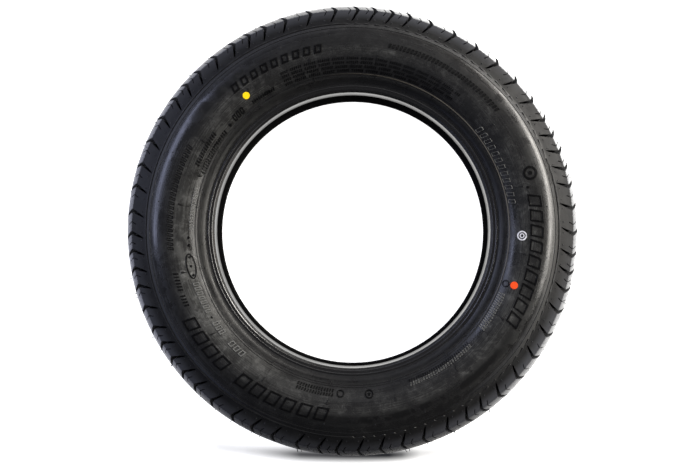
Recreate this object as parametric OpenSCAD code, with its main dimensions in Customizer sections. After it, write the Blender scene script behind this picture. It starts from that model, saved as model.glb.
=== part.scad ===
// Car tyre for a 13 inch rim, lying flat on its far sidewall.
// The tyre's axis is Z, the origin is at its centre, and the marked sidewall faces up.
// The section is drawn once, from the crown round the sidewall to the bead and back
// along the inside, mirrored to the far side and revolved. The tread pattern is then cut
// pitch by pitch, with three lengths of pitch in an uneven order, as on a real tyre.

/* [Size] */
// Overall diameter over the middle of the tread
outer_d = 547.2; // [535:0.1:560]
// Overall width at the widest point of the sidewalls
section_w = 157; // [150:0.5:166]
// Diameter of the seats of the two beads, which is that of the rim's seats
bead_d = 329.4; // [322:0.1:337]
// Width over the outer faces of the two beads, which is the rim's width
rim_w = 114.3; // [108:0.1:120]
// Height of the widest point above the seat, as a share of the section's height
widest_share = 0.5; // [0.46:0.005:0.55]

/* [Casing] */
// Thickness of the sidewalls
sidewall_t = 6.6; // [5:0.1:8]
// Belts and rubber between the tread's grooves and the inside
undertread_t = 7.4; // [5.5:0.1:8.5]
// Width of the level middle of the inside
inner_flat_w = 60; // [50:0.5:70]

/* [Bead] */
// Radius of the heel, between the seat and the outer face
heel_r = 5; // [3:0.1:7]
// Length of the round seat of each bead
seat_len = 6; // [4:0.1:8]
// Width of each bead from its outer face to its toe
bead_w = 15; // [13.5:0.1:18]
// How far the toe stands in from the seat
toe_drop = 1.5; // [0.6:0.1:2.5]
// Flat of the toe's tip
toe_t = 1.2; // [0.6:0.1:2]
// Height of the flat outer face above the seat, as a share of the section's height
face_share = 0.083; // [0.07:0.001:0.1]
// Height of the thick part of the bead, where its wire hoop lies, as such a share
hoop_share = 0.12; // [0.1:0.001:0.15]
// Thickness of the bead at the top of its hoop
hoop_t = 11; // [9:0.1:13]

/* [Sidewall] */
// Height of the rim line above the seat, clear of the rim's flange, as a share
// of the section's height
rim_line_share = 0.184; // [0.16:0.002:0.22]
// How far the rim line lies in from the widest point, along the axis
rim_line_inset = 11.5; // [9:0.1:14]
// Height of the shoulder rib above the seat, as a share of the section's height
rib_share = 0.7475; // [0.72:0.0025:0.78]
// How far the shoulder rib lies in from the widest point, along the axis
rib_inset = 10; // [8:0.1:13]
// Radius of the round section of the shoulder rib
rib_r = 1.1; // [0.6:0.1:1.6]
// Radius of the round section of the thin centring lines
line_r = 0.5; // [0.3:0.1:0.8]
// How far below the shoulder rib the first thin line lies
upper_line_gap = 4.6; // [3:0.1:7]
// How far above the rim line the lower thin line lies
lower_line_gap = 2.6; // [1.5:0.1:5]

/* [Tread] */
// Width of the tread between its two shoulder edges
tread_w = 119; // [114:0.5:124]
// Radius of the crown across the tread
crown_r = 380; // [300:1:500]
// Radius of the rounding from the crown to the shoulder edge
shoulder_r = 38; // [32:1:50]
// How far the corner of the shoulder edge is rounded off
edge_round = 2; // [1:0.1:3]
// Depth of the grooves round the tread
groove_depth = 7.6; // [5:0.1:8.5]
// Distance of the two inner grooves from the middle of the tread
inner_groove_z = 17; // [15:0.1:19]
// Distance of the two outer grooves from the middle of the tread
outer_groove_z = 41; // [38.5:0.1:43]
// Width of the inner grooves
inner_groove_w = 8.5; // [6:0.1:10]
// Width of the outer grooves
outer_groove_w = 6; // [4.5:0.1:7]
// How much narrower a groove is at its floor
groove_taper = 2; // [1:0.1:3]

/* [Shoulder grooves] */
// Depth of a shoulder groove, square to its floor, at the shoulder edge
chevron_depth = 9.4; // [7.5:0.1:10]
// Width of a shoulder groove at the shoulder edge, round the tyre
chevron_w = 5; // [4:0.1:6]
// Width of a shoulder groove on the tread
chevron_tread_w = 3.4; // [2.5:0.1:4.2]
// Width of a shoulder groove where it runs out on the side
chevron_end_w = 1.2; // [0.8:0.1:2]
// How far a shoulder groove runs down the side, as a share of the way to the rib
chevron_down_share = 0.92; // [0.75:0.01:0.96]
// How far a shoulder groove falls back as it runs down the side
chevron_side_lag = 9.8; // [8:0.1:11.5]
// How far a shoulder groove falls back as it crosses the tread
chevron_tread_lag = 9.5; // [6:0.1:12]
// Depth of the short sipe in the middle of each shoulder block
sipe_depth = 4; // [2.5:0.1:5]
// Width of a sipe
sipe_w = 1.2; // [0.8:0.1:1.6]
// How far the short sipe runs down the side
sipe_down = 5; // [4:0.1:6.5]
// How far the short sipe runs across the tread
sipe_across = 8; // [6:0.1:10]

/* [Tread ribs] */
// Depth of the slots in the ribs
slot_depth = 5; // [3:0.1:6.5]
// Width of a slot in an intermediate rib
slot_w = 2; // [1.4:0.1:3]
// Length of a slot, along the axis, from the outer groove
slot_run = 11; // [8:0.1:13]
// How far a slot leans round the tyre over its length
slot_lag = 5; // [3:0.1:8]
// Half the length, along the axis, of a sipe in the middle rib
middle_sipe_run = 8; // [6:0.1:9]

/* [Paint marks] */
// Thickness of the paint
paint_t = 0.25; // [0.2:0.05:0.5]
// Clearance of the paint from the rubber, so that the two solids share no face
paint_gap = 0.02; // [0.01:0.01:0.05]
// Diameter of the yellow dot
yellow_d = 8.4; // [6:0.1:12]
// Height of the yellow dot above the seat, as a share of the section's height
yellow_share = 0.355; // [0.3:0.005:0.42]
// Diameter of the red dot
red_d = 8.8; // [6:0.1:12]
// Height of the red dot above the seat, as such a share
red_share = 0.3487; // [0.3:0.005:0.42]
// Outer diameter of the white ring stamp
stamp_d = 11.4; // [9:0.1:15]
// Width of the stamp's line
stamp_line = 1.5; // [1:0.1:2.2]
// Height of the white stamp above the seat, as such a share
stamp_share = 0.3362; // [0.3:0.005:0.42]

/* [Hidden] */
full_turn = 360;
quarter_turn = 90;
half_turn = 180;
overrun = 3;
round_fn = 60;
bead_fn = 24;
mark_fn = 48;
arc_steps = 7;
edge_steps = 3;

// The order of the long, middle and short pitches, clockwise as seen from the marked side
pitch_order = str("MSSMLLLLMSMLMMMM", "SMLMMLMSSSSMMSSS",
                  "MLMLLMSSMMSSMLLM", "SSSMLLLLLMSSSSML");
pitches = len(pitch_order);
// Lengths of the three pitches as shares of the short one
short_share = 1;
middle_share = 1.245;
long_share = 1.437;
// Where the tip of the first shoulder groove lies, clockwise from X
first_tip_angle = 1.67;
// The far side's grooves lie half a pitch on
far_side_share = 0.5;
// Places of the paint marks, anticlockwise from X as seen from the marked side
yellow_angle = 128.36;
red_angle = -19.04;
stamp_angle = -2.05;

outer_r = outer_d / 2;
bead_r = bead_d / 2;
section_h = outer_r - bead_r;
tread_edge_z = tread_w / 2;
widest_r = bead_r + section_h * widest_share;
widest_z = section_w / 2;
heel_z = rim_w / 2;
rib_at_r = bead_r + section_h * rib_share;
rib_at_z = widest_z - rib_inset;
rim_line_r = bead_r + section_h * rim_line_share;
rim_line_z = widest_z - rim_line_inset;
face_top_r = bead_r + section_h * face_share;
toe_z = heel_z - bead_w;
inner_flat_z = inner_flat_w / 2;

// Radius of an arc that leaves the widest point square to the axis
// and has moved in by inset when it has climbed by rise
function side_arc_r(rise, inset) = (rise * rise + inset * inset) / (2 * inset);
upper_r = side_arc_r(rib_at_r - widest_r, rib_inset);
lower_r = side_arc_r(widest_r - rim_line_r, rim_line_inset);
upper_turn = asin((rib_at_r - widest_r) / upper_r);
lower_turn = asin((widest_r - rim_line_r) / lower_r);

// Radius of the crown at a distance from the middle of the tread
function crown(z) = outer_r - crown_r + sqrt(crown_r * crown_r - z * z);
// Outer face of the upper and lower sidewall at a radius
function upper_z(r) = widest_z - upper_r + sqrt(pow(upper_r, 2) - pow(r - widest_r, 2));
function lower_z(r) = widest_z - lower_r + sqrt(pow(lower_r, 2) - pow(r - widest_r, 2));

// Points of an arc in steps: centre, radius, first and last angle from the radial direction
function arc(centre, r, from, to, steps) =
    [for (i = [0:steps]) let (a = from + (to - from) * i / steps) centre + r * [cos(a), sin(a)]];

// Points that round the corner at b between a and c, starting a length of cut from it
function rounded(a, b, c, cut) =
    let (p = b + cut * (a - b) / norm(a - b), q = b + cut * (c - b) / norm(c - b))
    [for (i = [0:edge_steps]) let (t = i / edge_steps)
        (1 - t) * (1 - t) * p + 2 * t * (1 - t) * b + t * t * q];

// The rounding that carries the crown to the shoulder edge
shoulder_from = asin(outer_groove_z / crown_r);
shoulder_to = asin(sin(shoulder_from) + (tread_edge_z - outer_groove_z) / shoulder_r);
shoulder_centre = [crown(outer_groove_z), outer_groove_z]
    - shoulder_r * [cos(shoulder_from), sin(shoulder_from)];
shoulder_points = arc(shoulder_centre, shoulder_r, shoulder_from, shoulder_to, edge_steps);
shoulder_edge = shoulder_points[edge_steps];
rib_point = [rib_at_r, rib_at_z];

crown_points = [for (z = [0, inner_groove_z]) [crown(z), z]];
shoulder_outline = concat(
    [for (i = [0:edge_steps - 1]) shoulder_points[i]],
    rounded(shoulder_points[edge_steps - 1], shoulder_edge, rib_point, edge_round));
upper_side = arc([widest_r, widest_z - upper_r], upper_r,
    quarter_turn - upper_turn, quarter_turn, arc_steps);
lower_side = arc([widest_r, widest_z - lower_r], lower_r,
    quarter_turn, quarter_turn + lower_turn, arc_steps);
flange_side = [for (i = [1:arc_steps]) let (s = i / arc_steps)
    [rim_line_r + (face_top_r - rim_line_r) * s,
     heel_z + (rim_line_z - heel_z) * (1 - sin(quarter_turn * s))]];
heel = arc([bead_r + heel_r, heel_z - heel_r], heel_r, quarter_turn, half_turn, edge_steps);
seat_and_toe = [
    [bead_r, heel_z - heel_r - seat_len],
    [bead_r - toe_drop, toe_z],
    [bead_r - toe_drop + toe_t, toe_z - toe_t]];
hoop_side = [[bead_r + section_h * hoop_share, heel_z - hoop_t]];
inner_lower = arc([widest_r, widest_z - lower_r], lower_r - sidewall_t,
    quarter_turn + lower_turn, quarter_turn, arc_steps);
inner_top_r = crown(inner_flat_z) - groove_depth - undertread_t;
inner_upper = [for (i = [1:arc_steps]) let (a = quarter_turn * i / arc_steps)
    [widest_r + (inner_top_r - widest_r) * sin(a),
     inner_flat_z + (widest_z - sidewall_t - inner_flat_z) * cos(a)]];
inner_crown = [[crown(0) - groove_depth - undertread_t, 0]];

half_outline = concat(crown_points, shoulder_outline, upper_side,
    [for (i = [1:arc_steps]) lower_side[i]], flange_side, heel, seat_and_toe,
    hoop_side, inner_lower, inner_upper, inner_crown);
far_outline = [for (i = [len(half_outline) - 2:-1:1]) [half_outline[i][0], -half_outline[i][1]]];

// Section of one groove round the tread
module groove_section(z, w) {
    top = crown(z) + overrun;
    floor = crown(z) - groove_depth;
    polygon([[floor, z - (w - groove_taper) / 2], [floor, z + (w - groove_taper) / 2],
             [top, z + w / 2], [top, z - w / 2]]);
}

// Section of the whole tyre, with its grooves and the raised lines of its sidewalls
module section() {
    difference() {
        polygon(concat(half_outline, far_outline));
        for (side = [-1, 1]) {
            groove_section(side * inner_groove_z, inner_groove_w);
            groove_section(side * outer_groove_z, outer_groove_w);
        }
    }
    for (side = [-1, 1]) {
        translate([rib_at_r, side * rib_at_z]) circle(rib_r, $fn = bead_fn);
        translate([rib_at_r - upper_line_gap, side * upper_z(rib_at_r - upper_line_gap)])
            circle(line_r, $fn = bead_fn);
        translate([rim_line_r, side * rim_line_z]) circle(line_r, $fn = bead_fn);
        translate([rim_line_r + lower_line_gap, side * lower_z(rim_line_r + lower_line_gap)])
            circle(line_r, $fn = bead_fn);
    }
}

// Length of each pitch as a share, and the sum of those before it
function share(letter) = letter == "S" ? short_share : letter == "M" ? middle_share : long_share;
function sum_before(n) = n == 0 ? 0 : sum_before(n - 1) + share(pitch_order[n - 1]);
all_shares = sum_before(pitches);
function pitch_turn(n) = full_turn * share(pitch_order[n]) / all_shares;
function tip_angle(n) = -first_tip_angle - full_turn * sum_before(n) / all_shares;

// Angle between the floor of a shoulder groove and the axis: the floor runs from
// the foot of the outer groove to where the groove runs out on the side
tread_foot = [crown(outer_groove_z) - groove_depth, outer_groove_z];
side_foot = shoulder_edge + (rib_point - shoulder_edge) * chevron_down_share;
floor_tilt = atan2(tread_foot[0] - side_foot[0], side_foot[1] - tread_foot[1]);
// Lengths along that floor, from the shoulder edge inwards and down the side
function along_floor(p) = (p[0] - shoulder_edge[0]) * sin(floor_tilt)
    - (p[1] - shoulder_edge[1]) * cos(floor_tilt);
chevron_in = along_floor([crown(outer_groove_z), outer_groove_z]);
chevron_out = -along_floor(side_foot);

// A groove bent at the shoulder edge, its tip at Y = 0 and both legs falling back
module chevron(depth, in, out, in_lag, out_lag, tip_w, in_w, out_w) {
    translate([shoulder_edge[0], 0, shoulder_edge[1]])
        rotate([0, quarter_turn - floor_tilt, 0])
            translate([0, 0, -depth])
                linear_extrude(depth + overrun)
                    polygon([[0, 0], [in, in_lag], [in, in_lag + in_w], [0, tip_w],
                             [-out, out_lag + out_w], [-out, out_lag]]);
}

// The cuts of one shoulder block: its groove, and the sipe in its middle
module shoulder_cuts(turn) {
    chevron(chevron_depth, chevron_in, chevron_out, chevron_tread_lag, chevron_side_lag,
        chevron_w, chevron_tread_w, chevron_end_w);
    rotate([0, 0, turn / 2])
        chevron(sipe_depth, sipe_across, sipe_down,
            sipe_across * chevron_tread_lag / chevron_in,
            sipe_down * chevron_side_lag / chevron_out, sipe_w, sipe_w, sipe_w);
}

// A slanted slot in the tread, from one point to another of the rib's surface
module rib_slot(z, run, lag, w) {
    translate([crown(z) - slot_depth, 0, z])
        rotate([0, quarter_turn, 0])
            linear_extrude(slot_depth + overrun)
                polygon([[0, 0], [run, lag], [run, lag + w], [0, w]]);
}

// All the cuts that repeat with the pitches
module tread_cuts() {
    for (n = [0:pitches - 1]) {
        turn = pitch_turn(n);
        rotate([0, 0, tip_angle(n)]) {
            shoulder_cuts(turn);
            rib_slot(outer_groove_z, slot_run + outer_groove_w / 2, slot_lag, slot_w);
            rotate([0, 0, turn / 2])
                rib_slot(middle_sipe_run, 2 * middle_sipe_run, slot_lag, sipe_w);
            rotate([0, 0, -turn * far_side_share]) rotate([half_turn, 0, 0]) {
                shoulder_cuts(turn);
                rib_slot(outer_groove_z, slot_run + outer_groove_w / 2, slot_lag, slot_w);
            }
        }
    }
}

module tyre() {
    color("#2b2b2d") difference() {
        rotate_extrude($fn = round_fn) section();
        tread_cuts();
    }
}

// A skin of paint over the whole marked sidewall, from the bead's face to the shoulder
module paint_skin() {
    side = concat([shoulder_edge], upper_side, [for (i = [1:arc_steps]) lower_side[i]], flange_side);
    rotate_extrude($fn = round_fn)
        polygon(concat([for (p = side) p + [0, paint_gap]],
            [for (i = [len(side) - 1:-1:0]) side[i] + [0, paint_gap + paint_t]]));
}

// A round patch of that skin, or a ring if it has a hole
module paint_mark(at_share, angle, d, hole_d) {
    at_r = bead_r + section_h * at_share;
    intersection() {
        paint_skin();
        rotate([0, 0, angle]) translate([at_r, 0, 0]) difference() {
            cylinder(h = widest_z + overrun, d = d, $fn = mark_fn);
            if (hole_d > 0)
                translate([0, 0, -overrun])
                    cylinder(h = widest_z + 3 * overrun, d = hole_d, $fn = mark_fn);
        }
    }
}

module yellow_dot() {
    color("#f7d90a") paint_mark(yellow_share, yellow_angle, yellow_d, 0);
}

module red_dot() {
    color("#ff4a1c") paint_mark(red_share, red_angle, red_d, 0);
}

module white_stamp() {
    color("#dcdce2") paint_mark(stamp_share, stamp_angle, stamp_d, stamp_d - 2 * stamp_line);
}

tyre();
yellow_dot();
red_dot();
white_stamp();
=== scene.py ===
# Car tyre for a 13 inch rim: the moulded rubber, its marks, pips and hairs, and its paint dots,
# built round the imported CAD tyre, which lies flat with its marked sidewall up.

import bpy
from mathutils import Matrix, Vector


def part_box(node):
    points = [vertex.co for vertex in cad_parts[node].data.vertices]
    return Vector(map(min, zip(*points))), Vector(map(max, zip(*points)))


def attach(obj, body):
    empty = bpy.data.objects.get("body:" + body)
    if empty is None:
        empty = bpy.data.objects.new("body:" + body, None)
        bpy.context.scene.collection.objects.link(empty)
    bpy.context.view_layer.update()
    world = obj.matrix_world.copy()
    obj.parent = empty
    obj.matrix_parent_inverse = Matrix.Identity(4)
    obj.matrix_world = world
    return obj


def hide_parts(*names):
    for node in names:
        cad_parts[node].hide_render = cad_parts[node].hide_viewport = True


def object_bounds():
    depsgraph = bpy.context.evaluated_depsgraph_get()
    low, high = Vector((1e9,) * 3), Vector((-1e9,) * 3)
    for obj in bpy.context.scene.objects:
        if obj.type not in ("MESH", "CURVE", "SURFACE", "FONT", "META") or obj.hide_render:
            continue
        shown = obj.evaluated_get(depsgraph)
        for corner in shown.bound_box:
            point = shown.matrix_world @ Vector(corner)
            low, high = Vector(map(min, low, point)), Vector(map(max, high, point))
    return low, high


bl_info = {
    "name": "Car tyre",
    "version": (1, 0, 0),
    "blender": (4, 5, 0),
    "location": "View3D > Sidebar > Tyre",
    "description": "Dresses a CAD car tyre with its moulded detail, rubber and paint",
    "category": "Object",
}

import math
import random

import bpy
from mathutils import Matrix, Vector

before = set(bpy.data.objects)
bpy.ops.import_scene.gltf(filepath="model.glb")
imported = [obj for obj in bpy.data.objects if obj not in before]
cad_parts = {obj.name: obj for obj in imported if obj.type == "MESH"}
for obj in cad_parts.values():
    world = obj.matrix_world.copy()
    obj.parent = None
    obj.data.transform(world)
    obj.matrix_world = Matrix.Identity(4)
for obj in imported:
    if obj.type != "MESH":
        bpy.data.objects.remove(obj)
CAD_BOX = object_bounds()

MM = 0.001
# flat patterns are laid out at this height, just over the casing, and then put down on it
LAYOUT_Z = CAD_BOX[1].z + 0.005
# rays at the sidewalls and at the tread start this far from the middle of the tyre
RAY_START_Z = 0.2
RAY_START_R = 0.3
BODY = "root"
SLOT = "rubber"
MARKED_SIDE = 1
FAR_SIDE = -1

# As in the CAD source: the order of the tread's short, middle and long pitches, clockwise as seen
# from the marked side, their lengths, the angle of the first groove's tip, and the share of a
# pitch by which the far side's pattern is further on
PITCH_ORDER = (
    "MSSMLLLLMSMLMMMM" "SMLMMLMSSSSMMSSS" "MLMLLMSSMMSSMLLM" "SSSMLLLLLMSSSSML"
)
PITCH_SHARES = {"S": 1.0, "M": 1.245, "L": 1.437}
FIRST_TIP_DEG = 1.67
FAR_SIDE_SHARE = 0.5

# Rows of plain raised slabs where a maker would mould words. Each row: angles of its two ends,
# clockwise from the right of the photograph, number of slabs, inner and outer radius in mm,
# width of a slab as a share of its pitch, width of its outline in mm (0 is a solid slab),
# and whether the rubber there is rubbed pale, partly as a painted highlight
MARK_ROWS = (
    (348.6, 391.6, 9, 211.0, 227.0, 0.78, 2.2, False),
    (97.0, 128.4, 6, 213.0, 229.0, 0.74, 2.2, False),
    (131.9, 152.0, 4, 213.0, 229.0, 0.76, 2.2, False),
    (228.7, 261.0, 9, 213.4, 223.9, 0.66, 2.5, False),
    (173.3, 207.6, 24, 213.0, 220.0, 0.6, 0.85, False),
    (281.0, 320.9, 34, 220.0, 225.8, 0.56, 0.7, False),
    (320.5, 351.2, 12, 188.5, 196.5, 0.52, 0.45, True),
    (22.8, 37.7, 15, 192.8, 196.8, 0.6, 0.7, True),
    (22.8, 37.7, 17, 188.8, 192.0, 0.45, 0.0, True),
    (44.2, 69.7, 26, 193.9, 197.9, 0.5, 0.45, True),
    (44.2, 69.7, 29, 189.9, 193.1, 0.35, 0.0, False),
    (96.5, 109.9, 14, 195.6, 199.4, 0.5, 0.5, False),
    (96.5, 109.9, 14, 190.6, 194.4, 0.5, 0.5, False),
    (130.6, 137.8, 3, 193.2, 200.7, 0.68, 1.2, True),
    (141.0, 146.4, 3, 192.9, 200.4, 0.72, 1.2, True),
    (149.7, 161.6, 7, 192.5, 200.0, 0.66, 1.2, True),
    (179.7, 195.0, 13, 189.2, 194.2, 0.62, 0.9, True),
    (202.3, 215.3, 13, 197.2, 202.2, 0.5, 0.5, False),
    (200.5, 218.0, 18, 188.2, 193.2, 0.5, 0.5, False),
    (222.8, 228.1, 3, 189.5, 197.0, 0.7, 1.0, False),
    (231.7, 241.2, 11, 190.1, 194.1, 0.5, 0.5, False),
)
# Rows of small print, as plain dashes: angles of the ends, number, inner and outer radius in mm
DASH_ROWS = (
    (245.1, 308.8, 92, 202.4, 205.4),
    (245.1, 306.0, 88, 197.8, 200.8),
    (245.1, 307.5, 86, 193.2, 196.2),
    (245.1, 300.0, 74, 188.6, 191.6),
    (154.9, 167.4, 12, 213.0, 219.0),
)
# Width of a dash as a share of its pitch, and the edges' bevel and the share of the slabs
# rubbed pale, partly as a painted highlight
DASH_SHARE = 0.5
MARK_BEVEL = 0.0003
RUBBED_AND_HIGHLIGHT_SHARE = 0.45
# slabs taller than this get one more cut, to follow the sidewall's curve
TALL_SLAB = 0.009
# Round and oval outlines: angle, middle radius, size round the tyre and outwards, line, all in mm
RINGS = (
    (342.3, 221.2, 17.0, 17.0, 2.8),
    (84.2, 196.0, 10.5, 10.5, 1.6),
    (94.2, 195.1, 9.0, 9.0, 1.3),
    (19.4, 193.0, 8.5, 8.5, 1.2),
    (167.2, 196.4, 31.0, 11.5, 1.5),
)
# Small round studs: angle, radius and diameter in mm
STUDS = (
    (346.4, 213.9, 3.4), (148.0, 196.8, 2.6), (174.5, 195.2, 3.2), (177.2, 195.0, 3.0),
    (199.5, 192.0, 3.4), (220.6, 191.7, 4.0), (342.3, 221.2, 5.0), (84.2, 196.0, 3.6),
    (164.0, 196.4, 3.0), (167.2, 196.4, 3.0), (170.4, 196.4, 3.0),
)
# The mould's vent lines: their number, the angle of the first, and the radii of their ends in mm
VENT_LINES = 16
FIRST_VENT_DEG = 8.0
VENT_ENDS = (183.0, 209.0)
VENT_WIDTH = 0.0006
VENT_HEIGHT = 0.0003
# The wedges at their ends: width and length, height, bevel, how far the outer and the inner one
# lie inside the line's ends, all in metres, and their turn from the line and slant
WEDGE_SIZE = (0.0022, 0.0062)
WEDGE_HEIGHT = 0.0009
WEDGE_BEVEL = 0.0002
WEDGE_INSETS = (0.0028, 0.002)
WEDGE_TURN_DEG = 0.25
WEDGE_SLANT = 0.15
# Pips: the number on the sidewall, the angle of the first, the radii of these and of the
# shoulder's in mm, and where in a pitch the shoulder's two are
SIDE_PIPS = 24
FIRST_PIP_DEG = 8.3
SIDE_PIP_R = 232.3
SHOULDER_PIP_R = 251.5
SHOULDER_PIP_PARTS = (0.42, 0.86)
# a pip is this long, and its middle stands this far off the rubber
PIP_LENGTH = 0.0014
PIP_RISE = 0.0002
PIP_BEVEL = 0.0003
# Ribs round each bead: radius and half width in mm, sides of the section, and its height as a
# share of its width
BEAD_RIBS = ((168.3, 2.2, 4, 0.781), (172.6, 1.1, 10, 0.45))
# Hairs: length in metres and bend in degrees of each pattern, the rows across the tread, where in
# a pitch they may stand, the share of places with none, and how far they lean, in radians
HAIRS = ((0.004, 25), (0.006, 40), (0.003, 10))
HAIR_ROWS = (-0.049, -0.029, -0.004, 0.012, 0.029, 0.049)
HAIR_PARTS = (0.4, 0.62, 0.8)
BARE_SHARE = 0.35
HAIR_LEAN = 0.5
# how far a hair's root is sunk in the rubber
HAIR_ROOT = 0.0005
# none stands within this sine of the X and Y axes, where it would pass the box of the solids
AXIS_SINE = 0.16
# in the grooved middle of the tread, what lies inside this radius is a groove's bottom
GROOVED_HALF_WIDTH = 0.045
GROOVE_R = 0.268

# Where the casing's rubbers meet, in metres: the belt of tread outside one radius, and the liner
# between two, where the surface faces the middle of the hollow
TREAD_R = 0.2545
TREAD_HALF_WIDTH = 0.0592
LINER_R = (0.1667, 0.262)
LINER_HALF_WIDTH = 0.073
HOLLOW_R = 0.219
# Radius of the thin dusty line moulded round the rim, and of the black streak low on the right
RIM_LINE_R = 0.1865
WIPED_R = 0.2262
# The dot printed inside the white ring: its width, its line and its height
CORE_WIDTH = 0.0056
CORE_LINE = 0.0011
CORE_HEIGHT = 0.00004
# Painted shade: near black painted at the bottoms of grooves and in corners
PAINTED_SHADE_HEX = "#010102"

FLOOR_RADIUS = 8.0

# Lamps: name, the middle of each short side, the length of a short side, watts, colour, and
# whether reflections show it. The fill only lifts the colours, so that they look as written.
LAMPS = (
    ("fill", (-2.0, 0.3, 3.0), (2.0, 0.3, 3.0), 4.0, 70.0, "#ffffff", False),
    ("key", (-0.19, 2.1, 2.2), (1.99, 0.7, 2.2), 1.8, 5.0, "#ffffff", True),
    ("window", (1.75, -0.6, 0.68), (1.45, 1.0, 0.68), 0.3, 6.0, "#fffaf2", True),
    ("window edge", (1.429, -0.41, 1.272), (1.455, 0.309, 0.892), 0.28, 12.0, "#fffbf4", True),
    ("window side", (1.455, 0.309, 0.892), (1.247, 0.81, 0.716), 0.28, 10.0, "#fffbf4", True),
    ("window foot", (1.247, 0.81, 0.63), (0.915, 1.172, 0.495), 0.2, 6.0, "#fffbf4", True),
    ("right wall", (1.8, -1.3, 0.5), (1.8, 0.5, 0.5), 0.6, 7.0, "#fdfaf2", True),
    ("back right", (0.575, 1.877, 0.35), (1.825, 0.723, 0.35), 0.4, 4.0, "#ffffff", True),
    ("left", (-1.402, -0.075, 0.996), (-1.026, 0.959, 0.996), 0.4, 7.0, "#d3dbff", True),
    ("left wall", (-2.05, -0.45, 0.35), (-1.55, 1.45, 0.35), 0.5, 3.0, "#dde2ff", True),
    ("front left", (-2.0, -0.5, 0.5), (-1.2, -1.6, 0.42), 0.3, 1.3, "#c4d0ff", True),
    ("front right", (1.9, -0.5, 0.9), (1.2, -1.5, 0.75), 0.5, 1.2, "#f6f8ff", True),
)


# ------------------------------------------------------------------ shared tools


def linear(code):
    """Linear colour with alpha of an sRGB hex code."""
    parts = [int(code[i : i + 2], 16) / 255 for i in (1, 3, 5)]
    return (
        *(p / 12.92 if p <= 0.04045 else ((p + 0.055) / 1.055) ** 2.4 for p in parts),
        1.0,
    )


def add_node(tree, kind, inputs=None, stops=None, **settings):
    """Adds a shader node with its settings and colour stops, and sets or links its inputs."""
    made = tree.nodes.new("ShaderNode" + kind)
    for name, value in settings.items():
        setattr(made, name, value)
    if stops:
        ramp = made.color_ramp
        while len(ramp.elements) < len(stops):
            ramp.elements.new(1.0)
        for element, (at, level) in zip(ramp.elements, stops):
            element.position = at
            element.color = (level, level, level, 1.0)
    for key, value in (inputs or {}).items():
        if isinstance(value, bpy.types.Node):
            value = next(o for o in value.outputs if o.enabled)
        if isinstance(value, bpy.types.NodeSocket):
            tree.links.new(value, made.inputs[key])
        else:
            made.inputs[key].default_value = value
    return made


def new_material(name):
    """An empty material, its node tree, and the place on the object."""
    made = bpy.data.materials.new(name)
    made.use_nodes = True
    made.node_tree.nodes.clear()
    return made, made.node_tree, add_node(made.node_tree, "TexCoord").outputs["Object"]


def deselect():
    """Leaves edit mode and deselects everything, because the CAD nodes load selected."""
    if bpy.context.object and bpy.context.object.mode != "OBJECT":
        bpy.ops.object.mode_set(mode="OBJECT")
    bpy.ops.object.select_all(action="DESELECT")


def pick(obj):
    """Selects one object alone and makes it the active one."""
    deselect()
    obj.select_set(True)
    bpy.context.view_layer.objects.active = obj
    return obj


def edit(obj):
    """Goes into edit mode on one object, with all of it selected."""
    pick(obj)
    bpy.ops.object.mode_set(mode="EDIT")
    bpy.ops.mesh.select_all(action="SELECT")


def settle(obj):
    """Puts an object's place, turn and size in its mesh."""
    pick(obj)
    bpy.ops.object.transform_apply(location=True, rotation=True, scale=True)
    return obj


def modify(obj, kind, **settings):
    """Adds a modifier with its settings, and applies it."""
    pick(obj)
    added = obj.modifiers.new(kind, kind)
    for name, value in settings.items():
        setattr(added, name, value)
    bpy.ops.object.modifier_apply(modifier=added.name)


def smooth(obj, degrees):
    """Shades an object smooth, apart from its edges sharper than an angle."""
    pick(obj)
    bpy.ops.object.shade_smooth_by_angle(angle=math.radians(degrees))
    return obj


def join(pieces, name):
    """Joins pieces into one."""
    deselect()
    for one in pieces:
        one.select_set(True)
    bpy.context.view_layer.objects.active = pieces[0]
    if len(pieces) > 1:
        bpy.ops.object.join()
    pieces[0].name = name
    pieces[0].data.name = name
    return pieces[0]


def spread(pattern, places, name):
    """Copies of a pattern at each place, each with its own mesh, joined into one piece."""
    made = []
    for place in places:
        one = pattern.copy()
        one.data = pattern.data.copy()
        one.data.transform(place)
        bpy.context.scene.collection.objects.link(one)
        made.append(one)
    bpy.data.objects.remove(pattern)
    return join(made, name)


def finish_piece(piece, *materials, slot=SLOT):
    """Gives a piece its materials and its body; its slot is not used."""
    piece.data.materials.clear()
    for material in materials:
        piece.data.materials.append(material)
    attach(piece, BODY)


def photo_angle(degrees):
    """Angle about the axis of a place this far clockwise from the right of the photograph."""
    return math.radians(-degrees)


def on_casing(radius, angle, side=MARKED_SIDE):
    """Point and outward normal of the sidewall at a distance from the axis, in metres."""
    casing = bpy.data.objects["casing"]
    start = Vector((radius * math.cos(angle), radius * math.sin(angle), side * RAY_START_Z))
    hit, point, normal, _ = casing.ray_cast(start, Vector((0, 0, -side)))
    if not hit:
        raise RuntimeError(f"the casing has no surface at {radius} m from its axis")
    return point, normal


def stand_on(radius, angle, side=MARKED_SIDE):
    """Place of a pattern on the sidewall: Z off the surface, Y away from the axis."""
    point, normal = on_casing(radius, angle, side)
    out = Vector((math.cos(angle), math.sin(angle), 0))
    out = (out - normal * out.dot(normal)).normalized()
    across = out.cross(normal)
    turned = Matrix((across, out, normal)).transposed().to_4x4()
    return Matrix.Translation(point) @ turned


def pitches():
    """Angle of each shoulder groove's tip and the turn to the next, from the marked side."""
    total = sum(PITCH_SHARES[letter] for letter in PITCH_ORDER)
    before = 0.0
    for letter in PITCH_ORDER:
        turn = math.tau * PITCH_SHARES[letter] / total
        yield -math.radians(FIRST_TIP_DEG) - math.tau * before / total, turn
        before += PITCH_SHARES[letter]


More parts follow.
